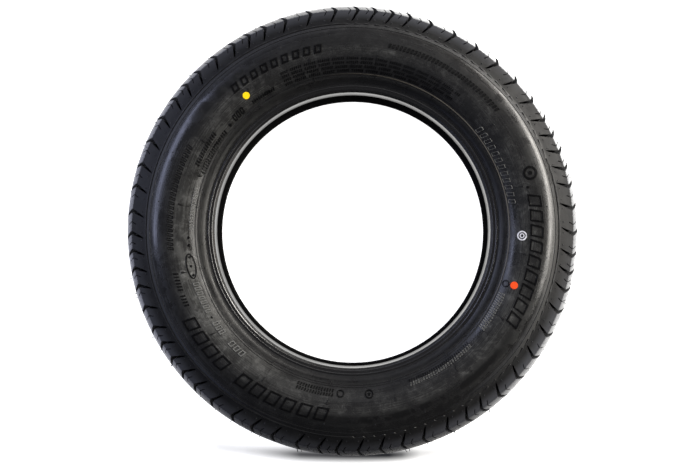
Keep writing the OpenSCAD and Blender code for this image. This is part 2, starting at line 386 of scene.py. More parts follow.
def flat_place(radius, degrees, slant=0.0):
    """Place of a flat pattern over the marked sidewall: X clockwise, Y away from the axis."""
    angle = photo_angle(degrees)
    out = Vector((math.cos(angle), math.sin(angle), 0))
    along = Vector((math.sin(angle), -math.cos(angle), 0))
    turned = Matrix((along, out + along * slant, Vector((0, 0, 1)))).transposed().to_4x4()
    return Matrix.Translation(out * radius + Vector((0, 0, LAYOUT_Z))) @ turned


def row_places(first, last, number, radius, slant):
    """Places of a row of equal marks between two angles."""
    turn = (last - first) / number
    return [flat_place(radius, first + turn * (i + 0.5), slant) for i in range(number)]


def flat_slab(width, height, line=0.0, cuts=0):
    """A flat oblong, or its outline, with enough points to follow the sidewall."""
    deselect()
    bpy.ops.mesh.primitive_plane_add(size=1.0, location=(0, 0, 0))
    slab = bpy.context.object
    slab.scale = (width, height, 1.0)
    edit(settle(slab))
    if line:
        bpy.ops.mesh.inset(thickness=line)
        bpy.ops.mesh.delete(type="FACE")
        bpy.ops.mesh.select_all(action="SELECT")
    if cuts:
        bpy.ops.mesh.subdivide(number_cuts=cuts)
    bpy.ops.object.mode_set(mode="OBJECT")
    return slab


def flat_ring(width, height, line):
    """A flat round or oval outline."""
    deselect()
    bpy.ops.mesh.primitive_circle_add(vertices=36, radius=0.5, fill_type="NGON")
    ring = bpy.context.object
    ring.scale = (width, height, 1.0)
    edit(settle(ring))
    bpy.ops.mesh.inset(thickness=line)
    bpy.ops.mesh.delete(type="FACE")
    bpy.ops.object.mode_set(mode="OBJECT")
    return ring


def raise_on_sidewall(flat, height, bevel=0.0):
    """Lays a flat piece on the sidewall, gives it its height, with half as much again sunk in
    the rubber, and bevels its edges."""
    modify(
        flat, "SHRINKWRAP", target=bpy.data.objects["casing"], wrap_method="PROJECT",
        use_project_z=True, use_negative_direction=True, use_positive_direction=False,
    )
    modify(flat, "SOLIDIFY", thickness=height * 1.5, offset=0.33)
    if bevel:
        modify(
            flat, "BEVEL", width=bevel, segments=1, limit_method="ANGLE",
            angle_limit=math.radians(40),
        )
    return smooth(flat, 30)


# ------------------------------------------------------------------ sizes and colours


class TyreLook(bpy.types.PropertyGroup):
    """Colours and finish of the rubber and the paint."""

    rubber_hex: bpy.props.StringProperty(
        name="Rubber", description="Colour of the clean moulded rubber", default="#131314"
    )
    dull_hex: bpy.props.StringProperty(
        name="Dull rubber", description="Colour of the dull dark smears", default="#060607"
    )
    dust_hex: bpy.props.StringProperty(
        name="Dust", description="Colour of the film of dust low on the left", default="#5a5a56"
    )
    chalk_and_highlight_hex: bpy.props.StringProperty(
        name="Rubbed marks and highlights", description="Colour of the scuffs and marks rubbed pale, and of painted highlights",
        default="#8b8b88",
    )
    line_hex: bpy.props.StringProperty(
        name="Dust and highlight on the rim line", default="#8a8272",
        description="Colour of the dust and painted highlight along the thin line at the rim",
    )
    tread_hex: bpy.props.StringProperty(
        name="Tread", description="Colour of the tread rubber", default="#131418"
    )
    painted_sheen_hex: bpy.props.StringProperty(
        name="Painted sheen", description="Colour of the painted sheen on the crown and the blocks' ends", default="#38393d"
    )
    liner_hex: bpy.props.StringProperty(
        name="Liner", description="Colour of the airtight rubber inside", default="#0d0d0e"
    )
    yellow_hex: bpy.props.StringProperty(
        name="Yellow paint", description="Colour of the balance dot", default="#efc800"
    )
    red_hex: bpy.props.StringProperty(
        name="Red paint", description="Colour of the run-out dot", default="#ea4a12"
    )
    white_hex: bpy.props.StringProperty(
        name="White ink", description="Colour of the inspection stamp", default="#d3d3d8"
    )
    mark_hex: bpy.props.StringProperty(
        name="Mark faces", description="Colour of the clean faces of the raised marks",
        default="#070708",
    )
    gloss_roughness: bpy.props.FloatProperty(
        name="Gloss", description="Roughness where the mould left the rubber smooth",
        default=0.16, min=0.05, max=1.0,
    )
    dull_roughness: bpy.props.FloatProperty(
        name="Dull", description="Roughness of the dull smears", default=0.6, min=0.05, max=1.0
    )


class TyreMarks(bpy.types.PropertyGroup):
    """Sizes of the moulded marks."""

    slab_height: bpy.props.FloatProperty(
        name="Slab height", description="How far the large marks stand off the sidewall",
        default=0.0009, unit="LENGTH",
    )
    dash_height: bpy.props.FloatProperty(
        name="Dash height", description="How far the small print stands off the sidewall",
        default=0.0004, unit="LENGTH",
    )
    slant: bpy.props.FloatProperty(
        name="Slant", description="How far a mark leans clockwise for each length outwards",
        default=0.22,
    )
    pip_diameter: bpy.props.FloatProperty(
        name="Pip", description="Diameter of the pips left by the mould's vents",
        default=0.0015, unit="LENGTH",
    )
    hair_diameter: bpy.props.FloatProperty(
        name="Hair", description="Diameter of the rubber hairs left by the mould's vents",
        default=0.0008, unit="LENGTH",
    )
    seed: bpy.props.IntProperty(
        name="Seed", description="Order of the hairs' lengths and leans", default=7
    )


class TyreStage(bpy.types.PropertyGroup):
    """Place of the camera and the strength of the light."""

    camera_at: bpy.props.FloatVectorProperty(
        name="Camera", description="Where the photograph was taken from",
        default=(0.004, -0.056, 2.181), subtype="TRANSLATION", unit="LENGTH",
    )
    camera_aim: bpy.props.FloatVectorProperty(
        name="Aim", description="Point in the middle of the photograph",
        default=(-0.00315, -0.0028, 0.0), subtype="TRANSLATION", unit="LENGTH",
    )
    lens: bpy.props.FloatProperty(
        name="Lens", description="Focal length of the camera", default=91.3, unit="CAMERA"
    )
    floor_glow: bpy.props.FloatProperty(
        name="Floor glow", description="White that the floor adds for the camera",
        default=1.0, min=0.0, max=1.0,
    )
    painted_shadow_glow: bpy.props.FloatProperty(
        name="Glow in the painted shadow", default=0.0, min=0.0, max=1.0,
        description="White that the floor adds under the tyre's near edge",
    )


# ------------------------------------------------------------------ materials


def axis_distance(tree, place):
    """Distance from the tyre's axis."""
    flat = add_node(tree, "VectorMath", {0: place, 1: (1.0, 1.0, 0.0)}, operation="MULTIPLY")
    return add_node(tree, "VectorMath", {0: flat}, operation="LENGTH").outputs["Value"]


def turn_share(tree, place):
    """The share of a turn round the axis, clockwise from the right."""
    apart = add_node(tree, "SeparateXYZ", {0: place})
    angle = add_node(
        tree, "Math", {0: apart.outputs["Y"], 1: apart.outputs["X"]}, operation="ARCTAN2"
    )
    turn = add_node(tree, "Math", {0: angle, 1: -1 / math.tau}, operation="MULTIPLY")
    return add_node(tree, "Math", {0: turn, 1: 1.0}, operation="FLOORED_MODULO")


def levels(tree, value, low, high, stops):
    """A level that goes by stops between two sizes of a value."""
    share = add_node(tree, "MapRange", {"Value": value, "From Min": low, "From Max": high})
    return add_node(tree, "ValToRGB", {"Fac": share}, stops=stops)


def close_to(tree, value, middle, inside, outside, most=1.0, **settings):
    """Most up to one distance from a middle, falling to nothing at another."""
    off = add_node(tree, "Math", {0: value, 1: middle}, operation="SUBTRACT")
    off = add_node(tree, "Math", {0: off}, operation="ABSOLUTE")
    return add_node(
        tree, "MapRange",
        {"Value": off, "From Min": inside, "From Max": outside, "To Min": most, "To Max": 0.0},
        **settings,
    )


def out_of_painted_shade(tree):
    """Painted shade from ambient occlusion: one on open surfaces, and zero at the bottoms of
    grooves 6 mm deep and in corners."""
    hemmed = add_node(tree, "AmbientOcclusion", {"Distance": 0.006}, samples=8).outputs["AO"]
    return add_node(tree, "MapRange", {"Value": hemmed, "From Min": 0.25, "From Max": 0.8})


def sidewall_rubber(look, film=1.0, pale=0.0, code=None, shine=0.5):
    """Carbon-black rubber moulded in a polished steel mould: a thin even sheen on the sidewall,
    broken by dull smears, a film of dust and rub marks, with painted highlights, and painted shade
    in grooves and corners. Film is how much of the dust it carries, pale how far a raised mark is
    rubbed pale, partly as a painted highlight, code its clean colour and shine its gloss."""
    name = "rubbed rubber with painted highlight" if pale else "moulded sidewall rubber" if film else "clean rubber"
    material, tree, place = new_material(name)
    radius, turn = axis_distance(tree, place), turn_share(tree, place)
    # uneven release film of the mould, in patches 25 mm across and finer
    patches = add_node(
        tree, "TexNoise",
        {"Vector": place, "Scale": 40.0, "Detail": 6.0, "Roughness": 0.65, "Distortion": 0.6},
    )
    # streaks about 1 mm wide and many times longer, that run round the tyre
    stretched = add_node(
        tree, "CombineXYZ",
        {"X": add_node(tree, "Math", {0: radius, 1: 700.0}, operation="MULTIPLY"),
         "Y": add_node(tree, "Math", {0: turn, 1: 24.0}, operation="MULTIPLY")},
    )
    streaks = add_node(tree, "TexNoise", {"Vector": stretched, "Scale": 1.0, "Detail": 3.0})
    # where the upper sidewall is smeared dull, by share of a turn and outwards
    smeared_turn = add_node(
        tree, "ValToRGB", {"Fac": turn},
        stops=((0.0, 0.05), (0.05, 0.25), (0.11, 0.95), (0.25, 1.0), (0.43, 1.0), (0.48, 0.25),
               (0.585, 0.1), (0.61, 1.0), (0.65, 0.95), (0.69, 0.6), (0.76, 0.8), (0.79, 0.5),
               (0.86, 0.55), (0.9, 0.8), (0.95, 0.3), (1.0, 0.05)),
    )
    smeared_radius = levels(
        tree, radius, 0.210, 0.250,
        ((0.0, 0.0), (0.2, 0.25), (0.32, 1.0), (0.52, 0.9), (0.64, 0.0)),
    )
    smear = add_node(tree, "Math", {0: smeared_turn, 1: smeared_radius}, operation="MULTIPLY")
    ragged = add_node(tree, "MapRange", {"Value": patches, "From Min": 0.34, "From Max": 0.52})
    smear = add_node(tree, "Math", {0: smear, 1: ragged}, operation="MULTIPLY")
    # one black streak low on the right, where the dust was wiped off
    wiped = close_to(tree, radius, WIPED_R, 0.0018, 0.0055, most=1.4)
    wiped_turn = add_node(
        tree, "ValToRGB", {"Fac": turn},
        stops=((0.09, 0.0), (0.125, 1.0), (0.22, 1.0), (0.29, 0.0)),
    )
    wiped = add_node(tree, "Math", {0: wiped, 1: wiped_turn}, operation="MULTIPLY")
    torn = add_node(tree, "MapRange", {"Value": patches, "From Min": 0.38, "From Max": 0.5})
    wiped = add_node(tree, "Math", {0: wiped, 1: torn}, operation="MULTIPLY", use_clamp=True)
    smear = add_node(tree, "Math", {0: smear, 1: wiped}, operation="MAXIMUM")
    # the film of dust: heaviest on the left and none at the top, and further out thin and even
    dusty_turn = add_node(
        tree, "ValToRGB", {"Fac": turn},
        stops=((0.0, 0.14), (0.083, 0.15), (0.167, 0.1), (0.25, 0.05), (0.333, 0.16),
               (0.417, 0.36), (0.46, 0.42), (0.5, 0.22), (0.583, 0.16), (0.667, 0.08),
               (0.75, 0.02), (0.833, 0.02), (0.917, 0.06), (1.0, 0.14)),
    )
    even = add_node(
        tree, "MapRange", {"Value": radius, "From Min": 0.205, "From Max": 0.216, "To Max": 0.85}
    )
    dusty_turn = add_node(tree, "Mix", {0: even, 2: dusty_turn, 3: 0.12}, data_type="FLOAT")
    dusty_radius = levels(
        tree, radius, 0.165, 0.245,
        ((0.0, 0.1), (0.07, 0.0), (0.13, 0.12), (0.17, 0.35), (0.21, 0.2), (0.26, 0.22),
         (0.31, 0.5), (0.42, 0.8), (0.62, 0.9), (0.72, 0.22), (1.0, 0.12)),
    )
    cloudy = add_node(tree, "Math", {0: streaks, 1: 0.4, 2: patches}, operation="MULTIPLY_ADD")
    cloudy = add_node(
        tree, "MapRange",
        {"Value": cloudy, "From Min": 0.56, "From Max": 0.84, "To Min": 0.35, "To Max": 1.45},
    )
    dusted = add_node(tree, "MapRange", {"Value": wiped, "To Min": film, "To Max": 0.0})
    dust = dusty_turn
    for share in (dusty_radius, cloudy, dusted):
        dust = add_node(tree, "Math", {0: dust, 1: share}, operation="MULTIPLY")
    # dust along the thin line round the rim, a millimetre wide, painted pale as a highlight on the
    # right and upper right, where the light catches it
    rim_dust_and_highlight = close_to(tree, radius, RIM_LINE_R, 0.0001, 0.0007)
    rim_dust_and_highlight_turn = add_node(
        tree, "ValToRGB", {"Fac": turn},
        stops=((0.0, 0.5), (0.06, 0.25), (0.12, 0.0), (0.72, 0.0), (0.78, 0.25), (0.84, 0.6),
               (0.95, 0.7), (1.0, 0.5)),
    )
    rim_dust_and_highlight = add_node(tree, "Math", {0: rim_dust_and_highlight, 1: rim_dust_and_highlight_turn}, operation="MULTIPLY")
    # pale scuffs up to 9 mm across where the dust is thick, which run together into a painted
    # highlight about the oval mark
    scuffs = add_node(
        tree, "TexNoise",
        {"Vector": place, "Scale": 110.0, "Detail": 5.0, "Roughness": 0.7, "Distortion": 1.2},
    )
    oval_highlight_turn = add_node(
        tree, "ValToRGB", {"Fac": turn},
        stops=((0.425, 0.0), (0.45, 0.5), (0.47, 0.85), (0.485, 0.1), (0.52, 0.0)),
    )
    rubbed_and_highlight = levels(
        tree, radius, 0.18, 0.22, ((0.1, 0.0), (0.35, 1.0), (0.6, 0.8), (0.75, 0.0))
    )
    for share in (oval_highlight_turn, film):
        rubbed_and_highlight = add_node(tree, "Math", {0: rubbed_and_highlight, 1: share}, operation="MULTIPLY")
    scuffed = add_node(tree, "MapRange", {"Value": scuffs, "From Min": 0.5, "From Max": 0.68})
    rubbed_and_highlight = add_node(tree, "Math", {0: rubbed_and_highlight, 1: dust}, operation="MAXIMUM")
    scuffed = add_node(tree, "Math", {0: scuffed, 1: rubbed_and_highlight}, operation="MULTIPLY")
    # painted highlight, pale like a wax bloom, on the ends of the tread's blocks: lighter
    # outwards, and lighter round the tyre where light falls on them
    block_end_highlight = add_node(
        tree, "MapRange", {"Value": radius, "From Min": 0.2525, "From Max": 0.261, "To Max": 0.95}
    )
    block_end_highlight_turn = add_node(
        tree, "ValToRGB", {"Fac": turn},
        stops=((0.0, 0.1), (0.05, 0.6), (0.083, 1.0), (0.167, 1.0), (0.25, 0.35), (0.333, 0.5),
               (0.417, 0.9), (0.5, 0.1), (0.583, 0.2), (0.667, 0.6), (0.75, 0.9), (0.833, 0.8),
               (0.9, 0.1), (1.0, 0.1)),
    )
    block_end_highlight = add_node(tree, "Math", {0: block_end_highlight, 1: block_end_highlight_turn}, operation="MULTIPLY")
    # each lies over the one before, on the clean rubber
    layers = [(smear, look.dull_hex), (dust, look.dust_hex), (rim_dust_and_highlight, look.line_hex),
              (scuffed, look.chalk_and_highlight_hex)]
    if pale:
        layers.append((pale, look.chalk_and_highlight_hex))
    layers.append((block_end_highlight, look.painted_sheen_hex))
    colour = linear(code or look.rubber_hex)
    for share, over in layers:
        colour = add_node(
            tree, "Mix", {0: share, 6: colour, 7: linear(over)}, data_type="RGBA"
        ).outputs[2]
    # painted shade from ambient occlusion: full in the deep grooves between the blocks, and about
    # a third as strong in the shallow corners at the marks
    grooved = add_node(
        tree, "MapRange", {"Value": radius, "From Min": 0.2455, "From Max": 0.2475, "To Min": 0.35}
    )
    unshaded = add_node(tree, "Mix", {0: grooved, 2: 1.0, 3: out_of_painted_shade(tree)}, data_type="FLOAT")
    colour = add_node(
        tree, "Mix", {0: unshaded, 6: linear(PAINTED_SHADE_HEX), 7: colour}, data_type="RGBA"
    ).outputs[2]
    # the streaks and patches vary the gloss everywhere
    varied = add_node(tree, "Math", {0: patches, 1: streaks}, operation="ADD")
    varied = add_node(
        tree, "MapRange",
        {"Value": varied, "From Min": 0.75, "From Max": 1.25, "To Min": -0.06, "To Max": 0.14},
    )
    # the slope above the bead and the band next to the tread are duller all round
    duller = levels(
        tree, radius, 0.17, 0.26,
        ((0.05, 0.0), (0.078, 0.6), (0.2, 0.6), (0.25, 0.0), (0.76, 0.0), (0.8, 0.5), (0.84, 0.5),
         (0.867, 1.0)),
    )
    varied = add_node(tree, "Math", {0: duller, 1: 0.2, 2: varied}, operation="MULTIPLY_ADD")
    rough = add_node(tree, "Math", {0: smear, 1: dust}, operation="MAXIMUM")
    rough = add_node(
        tree, "MapRange",
        {"Value": rough, "To Min": look.gloss_roughness, "To Max": look.dull_roughness},
    )
    rough = add_node(tree, "Math", {0: rough, 1: varied}, operation="ADD", use_clamp=True)
    gloss = add_node(tree, "Math", {0: smear, 1: duller}, operation="MAXIMUM")
    gloss = add_node(tree, "MapRange", {"Value": gloss, "To Min": shine, "To Max": shine * 0.3})
    gloss = add_node(tree, "Math", {0: gloss, 1: unshaded}, operation="MULTIPLY")
    # grain of the mould's etched steel, 1 mm apart, coarser than the real one so that it shows
    grain = add_node(tree, "TexNoise", {"Vector": place, "Scale": 900.0, "Detail": 2.0})
    height = add_node(tree, "Math", {0: streaks, 1: 0.4}, operation="MULTIPLY")
    height = add_node(tree, "Math", {0: grain, 1: height}, operation="ADD")
    bump = add_node(tree, "Bump", {"Height": height, "Strength": 0.2, "Distance": 0.0002})
    shader = add_node(
        tree, "BsdfPrincipled",
        {"Base Color": colour, "Roughness": rough, "Normal": bump, "Specular IOR Level": gloss},
    )
    add_node(tree, "OutputMaterial", {"Surface": shader.outputs["BSDF"]})
    return material


def tread_rubber(look):
    """New tread rubber, dark face on, with a strong pale sheen at a glance, and with a painted
    sheen that lightens its colour on the crown.
    """
    material, tree, place = new_material("tread rubber with painted sheen")
    # wax bloom, thick on the crown and thin on the blocks' ends, which raises the gloss and
    # lightens the colour as a painted sheen
    wax_and_painted_sheen = add_node(
        tree, "MapRange",
        {"Value": axis_distance(tree, place), "From Min": 0.255, "From Max": 0.265,
         "To Min": 0.2, "To Max": 0.9},
    )
    colour = add_node(
        tree, "Mix", {0: wax_and_painted_sheen, 6: linear(look.tread_hex), 7: linear(look.painted_sheen_hex)},
        data_type="RGBA",
    ).outputs[2]
    # painted shade: near black at the bottoms of the grooves
    unshaded = out_of_painted_shade(tree)
    colour = add_node(
        tree, "Mix", {0: unshaded, 6: linear(PAINTED_SHADE_HEX), 7: colour}, data_type="RGBA"
    ).outputs[2]
    wax_and_painted_sheen = add_node(tree, "Math", {0: wax_and_painted_sheen, 1: unshaded}, operation="MULTIPLY")
    # scuffs 4 mm across
    scuffs = add_node(tree, "TexNoise", {"Vector": place, "Scale": 240.0, "Detail": 4.0})
    rough = add_node(
        tree, "MapRange",
        {"Value": scuffs, "From Min": 0.35, "From Max": 0.65, "To Min": 0.2, "To Max": 0.44},
    )
    bump = add_node(tree, "Bump", {"Height": scuffs, "Strength": 0.12, "Distance": 0.0003})
    shader = add_node(
        tree, "BsdfPrincipled",
        {"Base Color": colour, "Roughness": rough, "Normal": bump,
         "Specular IOR Level": wax_and_painted_sheen, "Sheen Weight": 0.35, "Sheen Roughness": 0.3},
    )
    add_node(tree, "OutputMaterial", {"Surface": shader.outputs["BSDF"]})
    return material


def liner_rubber(look):
    """Airtight butyl liner: dull black, with the faint mesh that the curing bladder leaves."""
    material, tree, place = new_material("butyl liner")
    cloud = add_node(tree, "TexNoise", {"Vector": place, "Scale": 60.0, "Detail": 4.0})
    rough = add_node(tree, "MapRange", {"Value": cloud, "To Min": 0.5, "To Max": 0.8})
    # vents of the bladder, 6 mm apart
    mesh = add_node(
        tree, "TexVoronoi", {"Vector": place, "Scale": 160.0}, feature="DISTANCE_TO_EDGE"
    )
    bump = add_node(
        tree, "Bump", {"Height": mesh.outputs["Distance"], "Strength": 0.3, "Distance": 0.0004}
    )
    shader = add_node(
        tree, "BsdfPrincipled",
        {"Base Color": linear(look.liner_hex), "Roughness": rough, "Normal": bump},
    )
    add_node(tree, "OutputMaterial", {"Surface": shader.outputs["BSDF"]})
    return material


def marking_paint(name, code, worn):
    """Flat marking paint daubed on rubber: matt and uneven, with the grain showing through."""
    material, tree, place = new_material(name)
    # unevenness of the daub, 2 mm across
    blot = add_node(tree, "TexNoise", {"Vector": place, "Scale": 500.0, "Detail": 3.0})
    thin = add_node(
        tree, "MapRange", {"Value": blot, "From Min": 0.45, "From Max": 0.75, "To Max": worn}
    )
    colour = add_node(
        tree, "Mix", {0: thin, 6: linear(code), 7: linear("#1a1a1b")}, data_type="RGBA"
    ).outputs[2]
    bump = add_node(tree, "Bump", {"Height": blot, "Strength": 0.2, "Distance": 0.0002})
    shader = add_node(
        tree, "BsdfPrincipled",
        {"Base Color": colour, "Roughness": 0.6, "Specular IOR Level": 0.2, "Normal": bump},
    )
    add_node(tree, "OutputMaterial", {"Surface": shader.outputs["BSDF"]})
    return material


def floor_material(stage):
    """Plain white paper. To the camera it is white, apart from a painted shadow under the tyre
    and under its near edge. Reflections see a painted glow from it: bright in the bead hole and
    on the side of the window, and dark near the photographer."""
    material, tree, place = new_material("white paper")
    rays = add_node(tree, "LightPath")
    apart = add_node(tree, "SeparateXYZ", {0: place})
    across, back = apart.outputs["X"], apart.outputs["Y"]
    radius, turn = axis_distance(tree, place), turn_share(tree, place)
    # painted shadow by the near edge, along a shallow arc where the photographed tyre stands
    bent = add_node(tree, "Math", {0: across, 1: across}, operation="MULTIPLY")
    bent = add_node(tree, "Math", {0: bent, 1: 0.36, 2: -0.2828}, operation="MULTIPLY_ADD")
    near = close_to(tree, back, bent, 0.0, 0.016, interpolation_type="SMOOTHSTEP")
    # darkest in the middle, and longer to the left
    along = levels(
        tree, across, -0.21, 0.19,
        ((0.0, 0.0), (0.1, 0.43), (0.17, 0.46), (0.23, 0.56), (0.29, 0.72), (0.36, 0.95),
         (0.64, 1.0), (0.68, 0.92), (0.74, 0.54), (0.8, 0.44), (0.87, 0.35), (1.0, 0.0)),
    )
    painted_shadow = add_node(tree, "Math", {0: near, 1: along}, operation="MULTIPLY")
    # painted shadow under the tyre, which only a view from the side shows
    under = levels(
        tree, radius, 0.16, 0.29, ((0.06, 0.0), (0.2, 0.9), (0.85, 1.0), (0.9, 0.8), (0.955, 0.0))
    )
    painted_shadow = add_node(tree, "Math", {0: painted_shadow, 1: under}, operation="MAXIMUM")
    shown = add_node(
        tree, "MapRange",
        {"Value": painted_shadow, "To Min": stage.floor_glow, "To Max": stage.painted_shadow_glow},
    )
    seen = add_node(
        tree, "Math",
        {0: rays.outputs["Is Camera Ray"], 1: rays.outputs["Is Transmission Ray"]},
        operation="MAXIMUM",
    )
    strength = add_node(tree, "Math", {0: seen, 1: shown}, operation="MULTIPLY")
    # painted shade: in front of the tyre the paper is dark to bounced light, so it throws no light
    # up at the tread
    front = add_node(tree, "MapRange", {"Value": back, "From Min": -0.2, "From Max": -0.32})
    front = add_node(
        tree, "Math", {0: front, 1: rays.outputs["Is Diffuse Ray"]}, operation="MULTIPLY"
    )
    painted_shadow = add_node(tree, "Math", {0: painted_shadow, 1: front}, operation="MAXIMUM")
    # painted shadow: the paper itself turns dark where the shadow and the shade are painted
    painted_shadow_paper = add_node(
        tree, "Mix", {0: painted_shadow, 6: linear("#f4f4f4"), 7: linear("#24262c")}, data_type="RGBA"
    ).outputs[2]
    paper = add_node(tree, "BsdfDiffuse", {"Color": painted_shadow_paper})
    white = add_node(tree, "Emission", {"Strength": strength})
    direct = add_node(tree, "AddShader", {0: paper.outputs[0], 1: white.outputs[0]})
    # painted reflection: what reflections see of it glows, overexposed at the back right, dark
    # near the photographer
    painted_reflection_turn = add_node(
        tree, "ValToRGB", {"Fac": turn},
        stops=((0.0, 0.38), (0.083, 0.31), (0.167, 0.04), (0.25, 0.003), (0.333, 0.012),
               (0.417, 0.15), (0.5, 0.13), (0.583, 0.16), (0.667, 0.15), (0.75, 0.25),
               (0.79, 0.5), (0.833, 1.0), (0.917, 1.0), (0.95, 0.75), (0.975, 0.45), (1.0, 0.38)),
    )
    outside = add_node(
        tree, "MapRange", {"Value": radius, "From Min": 0.2, "From Max": 0.27, "To Max": 10.0}
    )
    mirrored = add_node(tree, "Math", {0: painted_reflection_turn, 1: outside}, operation="MULTIPLY")
    inside = add_node(
        tree, "MapRange",
        {"Value": radius, "From Min": 0.15, "From Max": 0.25, "To Min": 1.8, "To Max": 0.0},
    )
    mirrored = add_node(tree, "Math", {0: mirrored, 1: inside}, operation="MAXIMUM")
    warm = add_node(tree, "MapRange", {"Value": across, "From Min": -0.4, "From Max": -0.2})
    tint = add_node(
        tree, "Mix", {0: warm, 6: linear("#dde0f4"), 7: linear("#fdfcfa")}, data_type="RGBA"
    ).outputs[2]
    painted_reflection = add_node(tree, "Emission", {"Color": tint, "Strength": mirrored})
    both = add_node(
        tree, "MixShader",
        {0: rays.outputs["Is Glossy Ray"], 1: direct.outputs[0], 2: painted_reflection.outputs[0]},
    )
    add_node(tree, "OutputMaterial", {"Surface": both.outputs[0]})
    return material


# ------------------------------------------------------------------ the stage


class TYRE_OT_stage(bpy.types.Operator):
    """Sets up the camera, the floor and the studio light"""

    bl_idname = "tyre.stage"
    bl_label = "Stage"

    def execute(self, context):
        stage = context.scene.tyre_stage
        data = bpy.data.cameras.new("camera")
        data.lens = stage.lens
        data.clip_end = 20.0
        camera = bpy.data.objects.new("camera", data)
        context.scene.collection.objects.link(camera)
        back = (Vector(stage.camera_at) - Vector(stage.camera_aim)).normalized()
        right = Vector((0, 1, 0)).cross(back).normalized()
        turned = Matrix((right, back.cross(right), back)).transposed().to_4x4()
        camera.matrix_world = Matrix.Translation(stage.camera_at) @ turned
        context.scene.camera = camera

        deselect()
        bpy.ops.mesh.primitive_circle_add(
            vertices=64, radius=FLOOR_RADIUS, fill_type="NGON", location=(0, 0, CAD_BOX[0].z)
        )
        floor = context.object
        floor.name = "floor"
        floor.data.materials.append(floor_material(stage))

        for name, one_end, other_end, breadth, power, code, mirrored in LAMPS:
            one_end, other_end = Vector(one_end), Vector(other_end)
            lamp = bpy.data.lights.new(name, "AREA")
            lamp.shape = "RECTANGLE"
            lamp.size, lamp.size_y = (other_end - one_end).length, breadth
            lamp.energy = power
            lamp.color = linear(code)[:3]
            middle = (one_end + other_end) / 2
            along = (other_end - one_end).normalized()
            back = (middle - along * middle.dot(along)).normalized()
            turned = Matrix((along, back.cross(along), back)).transposed().to_4x4()
            held = bpy.data.objects.new(name, lamp)
            held.matrix_world = Matrix.Translation(middle) @ turned
            held.visible_glossy = mirrored
            context.scene.collection.objects.link(held)

        world = bpy.data.worlds.new("studio")
        world.use_nodes = True
        tree = world.node_tree
        tree.nodes.clear()
        # a white room whose ceiling is dim, darker on the photographer's side
        way = add_node(tree, "TexCoord").outputs["Generated"]
        apart = add_node(tree, "SeparateXYZ", {0: way})
        low = add_node(
            tree, "MapRange",
            {"Value": apart.outputs["Z"], "From Min": 0.1, "From Max": 0.62, "To Min": 1.0,
             "To Max": 0.2},
            interpolation_type="SMOOTHSTEP",
        )
        far = add_node(
            tree, "MapRange",
            {"Value": apart.outputs["Y"], "From Min": -0.75, "From Max": 0.1, "To Min": 0.06},
        )
        strength = add_node(tree, "Math", {0: low, 1: far}, operation="MULTIPLY")
        warm = add_node(
            tree, "MapRange", {"Value": apart.outputs["X"], "From Min": -0.6, "From Max": 0.6}
        )
        tint = add_node(
            tree, "Mix", {0: warm, 6: linear("#dfe5ff"), 7: linear("#fff4e2")}, data_type="RGBA"
        ).outputs[2]
        sky = add_node(tree, "Background", {"Color": tint, "Strength": strength})
        add_node(tree, "OutputWorld", {"Surface": sky.outputs[0]})
        context.scene.world = world
        context.scene.view_settings.view_transform = "Standard"
        return {"FINISHED"}


# ------------------------------------------------------------------ the tyre


class TYRE_OT_casing(bpy.types.Operator):
    """Makes the smooth rubber casing from the CAD tyre"""

    bl_idname = "tyre.casing"
    bl_label = "Casing"

    def execute(self, context):
        look = context.scene.tyre_look
        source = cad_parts["tyre"]
        deselect()
        casing = bpy.data.objects.new("casing", source.data.copy())
        context.scene.collection.objects.link(casing)
        pick(casing)
        bpy.ops.mesh.customdata_custom_splitnormals_clear()
        edit(casing)
        bpy.ops.mesh.remove_doubles(threshold=1e-6)
        smooth(casing, 28)
        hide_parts("tyre")
        finish_piece(casing, sidewall_rubber(look), tread_rubber(look), liner_rubber(look))
        # the belt of tread between the shoulder edges, and the inside
        for face in casing.data.polygons:
            x, y, z = face.center
            radius = math.hypot(x, y)
            facing_out = (face.normal.x * x + face.normal.y * y) / radius
            inward = facing_out * (radius - HOLLOW_R) + face.normal.z * z < 0
            if radius > TREAD_R and abs(z) < TREAD_HALF_WIDTH:
                face.material_index = 1
            elif inward and LINER_R[0] < radius < LINER_R[1] and abs(z) < LINER_HALF_WIDTH:
                face.material_index = 2
        return {"FINISHED"}


